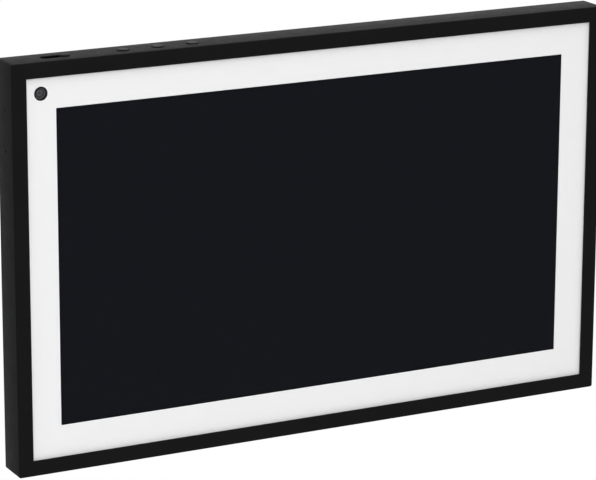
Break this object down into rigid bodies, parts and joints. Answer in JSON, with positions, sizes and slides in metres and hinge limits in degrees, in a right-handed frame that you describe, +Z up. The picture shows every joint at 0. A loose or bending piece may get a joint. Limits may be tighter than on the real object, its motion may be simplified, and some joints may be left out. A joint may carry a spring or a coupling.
{
  "type": "wall display",
  "caption": "Wall-hung touch display in a deep picture frame: dark screen in a white mat, with a camera shutter slider and push buttons on the top edge.",
  "frame": {"origin": "centre of the hanger plate's back face, which lies on the wall", "axes": "+X to the right as seen from the front, +Z up the wall, -Y out of the wall towards the viewer, so +Y points into the wall"},
  "size_m": [0.402, 0.035, 0.2528],
  "materials": {
    "frame_black": "satin moulded, fine grain",
    "pane": "thin clear pane",
    "mat_white": "matt white border",
    "screen": "dark, switched off",
    "white_sheet": "white film",
    "clear_plastic": "clear acrylic",
    "steel": "plated sheet",
    "hanger_steel": "zinc plated",
    "aluminium": "milled sheet",
    "circuit_board": "green solder mask",
    "ribbon": "amber film",
    "barrel_black": "turned, satin",
    "lens": "coated, dark",
    "slider_black": "satin moulded, plain knob",
    "button_black": "satin",
    "inner_plastic": "moulded",
    "soft_grey": "gap filler",
    "speaker_cone": "paper pulp with a rubber edge",
    "cover_black": "spark-eroded grain",
    "rubber": "soft",
    "screw_black": "black oxide"
  },
  "bodies": {
    "housing": {"front_frame": "frame_black", "cover_glass": "pane", "mat_border": "mat_white", "lcd_cell": "screen", "diffuser_sheet": "white_sheet", "light_guide": "clear_plastic", "reflector_sheet": "white_sheet", "led_strip": "white_sheet", "display_tray": "steel", "panel_driver_board": "circuit_board", "panel_ribbon": "ribbon", "camera_barrel": "barrel_black", "camera_lens": "lens", "camera_board": "circuit_board", "camera_ribbon": "ribbon", "shutter_guide": "inner_plastic", "detent_spring": "steel", "microphone_switch": "inner_plastic", "volume_down_switch": "inner_plastic", "volume_up_switch": "inner_plastic", "button_board": "circuit_board", "button_ribbon": "ribbon", "microphone_board": "circuit_board", "upper_microphone": "steel", "lower_microphone": "steel", "chassis_plate": "inner_plastic", "main_board": "circuit_board", "processor_shield": "steel", "radio_shield": "steel", "thermal_pad": "soft_grey", "heat_spreader": "aluminium", "left_antenna": "ribbon", "right_antenna": "ribbon", "left_speaker_box": "inner_plastic", "left_speaker_cone": "speaker_cone", "right_speaker_box": "inner_plastic", "right_speaker_cone": "speaker_cone", "rear_cover": "cover_black", "power_socket": "inner_plastic", "power_lead": "rubber", "hanger_plate": "hanger_steel", "lower_left_wall_pad": "rubber", "lower_right_wall_pad": "rubber", "upper_left_wall_pad": "rubber", "upper_right_wall_pad": "rubber", "cover_screw_1": "screw_black", "cover_screw_2": "screw_black", "cover_screw_3": "screw_black", "cover_screw_4": "screw_black", "cover_screw_5": "screw_black", "cover_screw_6": "screw_black", "hanger_screw_1": "screw_black", "hanger_screw_2": "screw_black", "hanger_screw_3": "screw_black", "hanger_screw_4": "screw_black"},
    "shutter": {"shutter_slider": "slider_black"},
    "microphone_key": {"microphone_button": "button_black"},
    "volume_down_key": {"volume_down_button": "button_black"},
    "volume_up_key": {"volume_up_button": "button_black"}
  },
  "joints": [
    {"name": "shutter_slide", "type": "slide", "parent": "housing", "child": "shutter", "axis": [-1, 0, 0], "range_m": [0, 0.0118]},
    {"name": "microphone_press", "type": "slide", "parent": "housing", "child": "microphone_key", "axis": [0, 0, -1], "range_m": [0, 0.0005], "stiffness_N_per_m": 1500},
    {"name": "volume_down_press", "type": "slide", "parent": "housing", "child": "volume_down_key", "axis": [0, 0, -1], "range_m": [0, 0.0005], "stiffness_N_per_m": 1500},
    {"name": "volume_up_press", "type": "slide", "parent": "housing", "child": "volume_up_key", "axis": [0, 0, -1], "range_m": [0, 0.0005], "stiffness_N_per_m": 1500}
  ]
}
